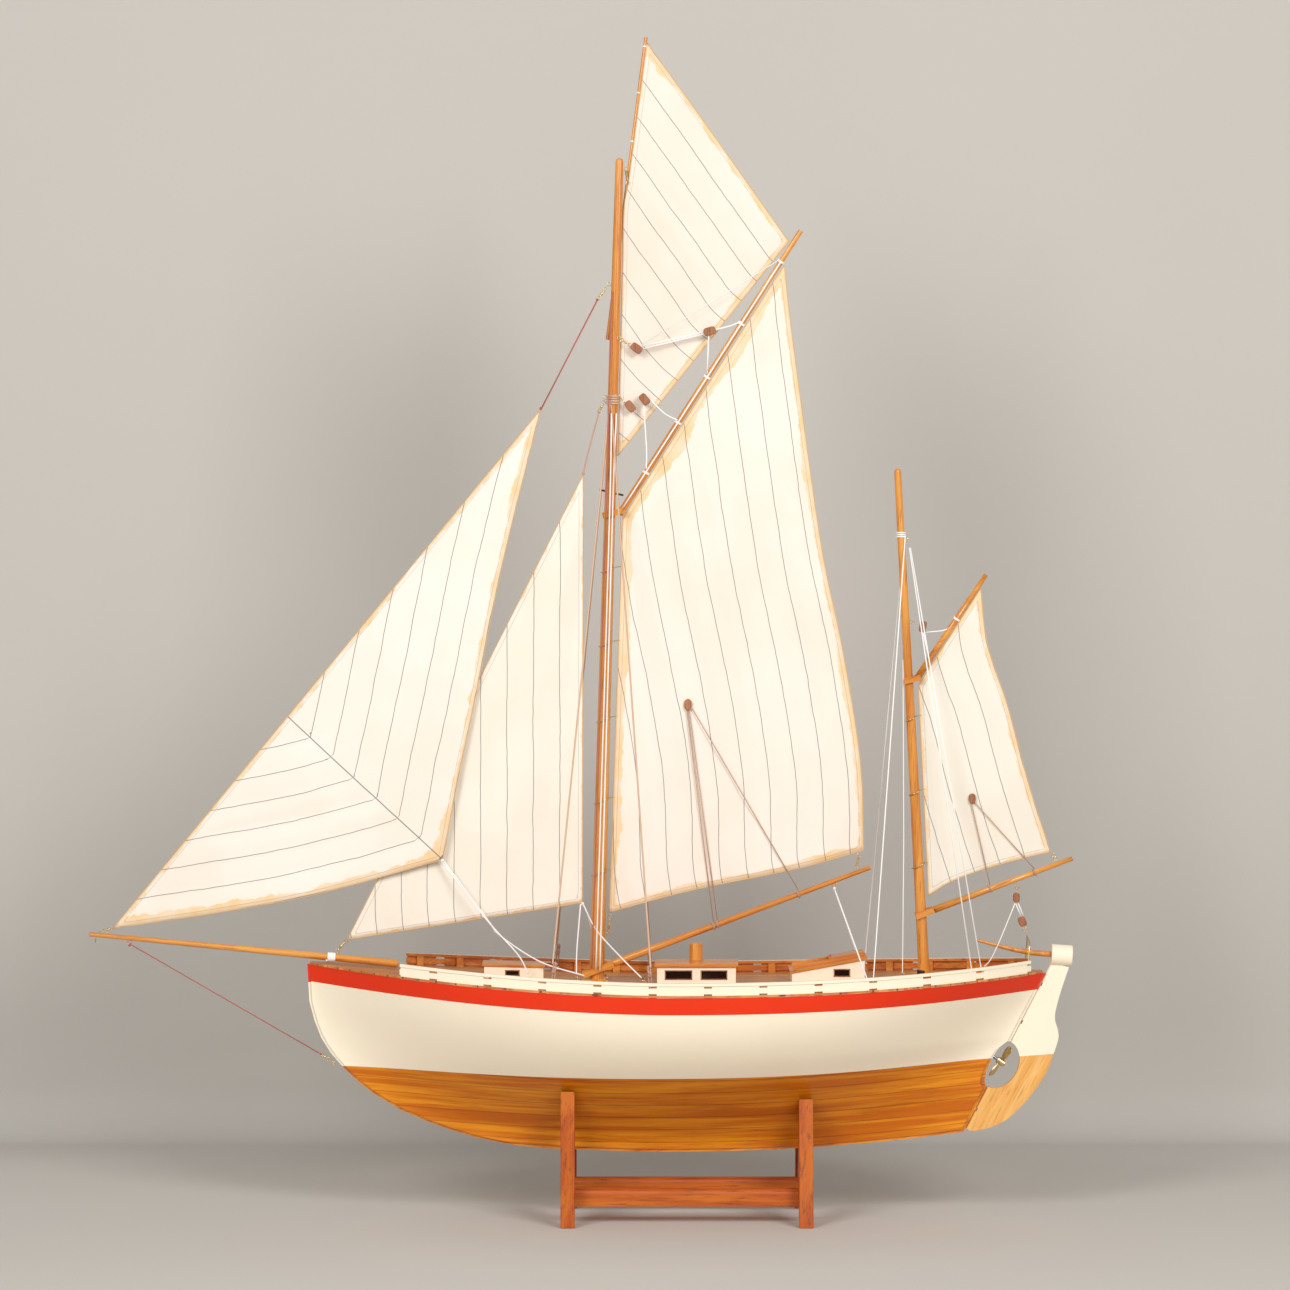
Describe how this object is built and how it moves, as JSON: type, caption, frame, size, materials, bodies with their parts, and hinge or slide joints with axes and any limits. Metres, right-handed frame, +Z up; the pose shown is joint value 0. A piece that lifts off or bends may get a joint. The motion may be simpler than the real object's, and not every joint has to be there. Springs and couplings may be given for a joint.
{
  "type": "gaff-rigged model sailing boat on stand",
  "caption": "Wooden two-masted gaff-rigged model sailing boat with swinging sails, rudder and tiller, turning propeller and a cradle stand.",
  "frame": {"origin": "on the floor under the middle of the whole model's length and beam", "axes": "+Z up; bow points along -X, port side towards -Y"},
  "size_m": [0.986, 0.2416, 1.1816],
  "materials": {
    "stand_wood": "satin varnish",
    "felt": "matt felt",
    "hull_wood": "gloss varnish",
    "deck_wood": "satin varnish",
    "spar_wood": "gloss varnish",
    "cream_paint": "gloss paint on wood",
    "red_paint": "gloss paint on wood",
    "brass": "polished",
    "sailcloth": "matt cotton",
    "white_cord": "twisted cord",
    "brown_cord": "tarred twine",
    "pane": "dark gloss",
    "motor_can": "brushed",
    "case": "matt"
  },
  "bodies": {
    "stand": {"stand_uprights": "stand_wood", "stand_cross_rails": "stand_wood", "stand_stretchers": "stand_wood", "stand_pads": "felt"},
    "boat": {"backbone": "hull_wood", "bottom_planking": "hull_wood", "topside_planking": "cream_paint", "sheer_band": "red_paint", "hull_frames": "hull_wood", "deck": "deck_wood", "bulwark_boards": "cream_paint", "bulwark_stanchions": "hull_wood", "cap_rails": "cream_paint", "bowsprit": "spar_wood", "bowsprit_fittings": "brass", "bobstay": "brown_cord", "main_mast": "spar_wood", "mizzen_mast": "spar_wood", "mast_fittings": "brass", "fore_hatch": "cream_paint", "fore_hatch_lid": "hull_wood", "deckhouse_walls": "cream_paint", "deckhouse_roof": "hull_wood", "funnel": "spar_wood", "aft_cabin_walls": "cream_paint", "aft_cabin_roof": "hull_wood", "cabin_windows": "pane", "main_shrouds": "brown_cord", "mizzen_shrouds": "white_cord", "shroud_lanyards": "brown_cord", "deck_eyes": "brass", "deck_cleats": "spar_wood", "sheet_horse": "brass", "gudgeons": "brass", "stern_tube": "brass", "motor": "motor_can", "motor_bed": "deck_wood", "equipment_shelf": "deck_wood", "radio_gear": "case", "running_lines": "white_cord", "sheets": "white_cord"},
    "hatch": {"companion_hatch": "spar_wood"},
    "rudder": {"rudder_blade": "cream_paint", "rudder_head": "cream_paint", "tiller": "spar_wood", "pintles": "brass"},
    "propeller": {"propeller": "brass", "shaft": "motor_can"},
    "main_sails": {"main_boom": "spar_wood", "main_gaff": "spar_wood", "mainsail": "sailcloth", "topsail": "sailcloth", "topsail_yard": "spar_wood", "main_hoops": "brass", "main_blocks": "spar_wood"},
    "mizzen_sails": {"mizzen_spars": "spar_wood", "mizzen_sail": "sailcloth", "mizzen_hoops": "brass"},
    "jib": {"jib": "sailcloth"},
    "staysail": {"staysail": "sailcloth"}
  },
  "joints": [
    {"name": "boat_lift", "type": "slide", "parent": "stand", "child": "boat", "axis": [0, 0, 1], "range_m": [0, 0.08]},
    {"name": "rudder_turn", "type": "hinge", "parent": "boat", "child": "rudder", "pos_m": [0.38789, 0, 0.087], "axis": [0.4582, 0, 0.8888], "range_deg": [-24, 24], "deforming": ["sheets"]},
    {"name": "propeller_spin", "type": "hinge", "parent": "boat", "child": "propeller", "pos_m": [0.4218, 0, 0.1565], "axis": [0.8192, 0, -0.5736], "continuous": true},
    {"name": "main_swing", "type": "hinge", "parent": "boat", "child": "main_sails", "pos_m": [0.0165, 0, 0.253], "axis": [0.028, 0, 0.9996], "range_deg": [-20, 20], "deforming": ["sheets", "running_lines"]},
    {"name": "mizzen_swing", "type": "hinge", "parent": "boat", "child": "mizzen_sails", "pos_m": [0.3435, 0, 0.26], "axis": [-0.0542, 0, 0.9985], "range_deg": [-20, 20], "deforming": ["sheets", "running_lines"]},
    {"name": "jib_swing", "type": "hinge", "parent": "boat", "child": "jib", "pos_m": [-0.48, 0, 0.288], "axis": [0.6183, 0, 0.7859], "range_deg": [-22, 0], "deforming": ["sheets"]},
    {"name": "staysail_swing", "type": "hinge", "parent": "boat", "child": "staysail", "pos_m": [-0.2485, 0, 0.263], "axis": [0.4401, 0, 0.8979], "range_deg": [0, 18], "deforming": ["sheets"]},
    {"name": "hatch_slide", "type": "slide", "parent": "boat", "child": "hatch", "axis": [-0.9834, 0, -0.1814], "range_m": [0, 0.025]}
  ]
}
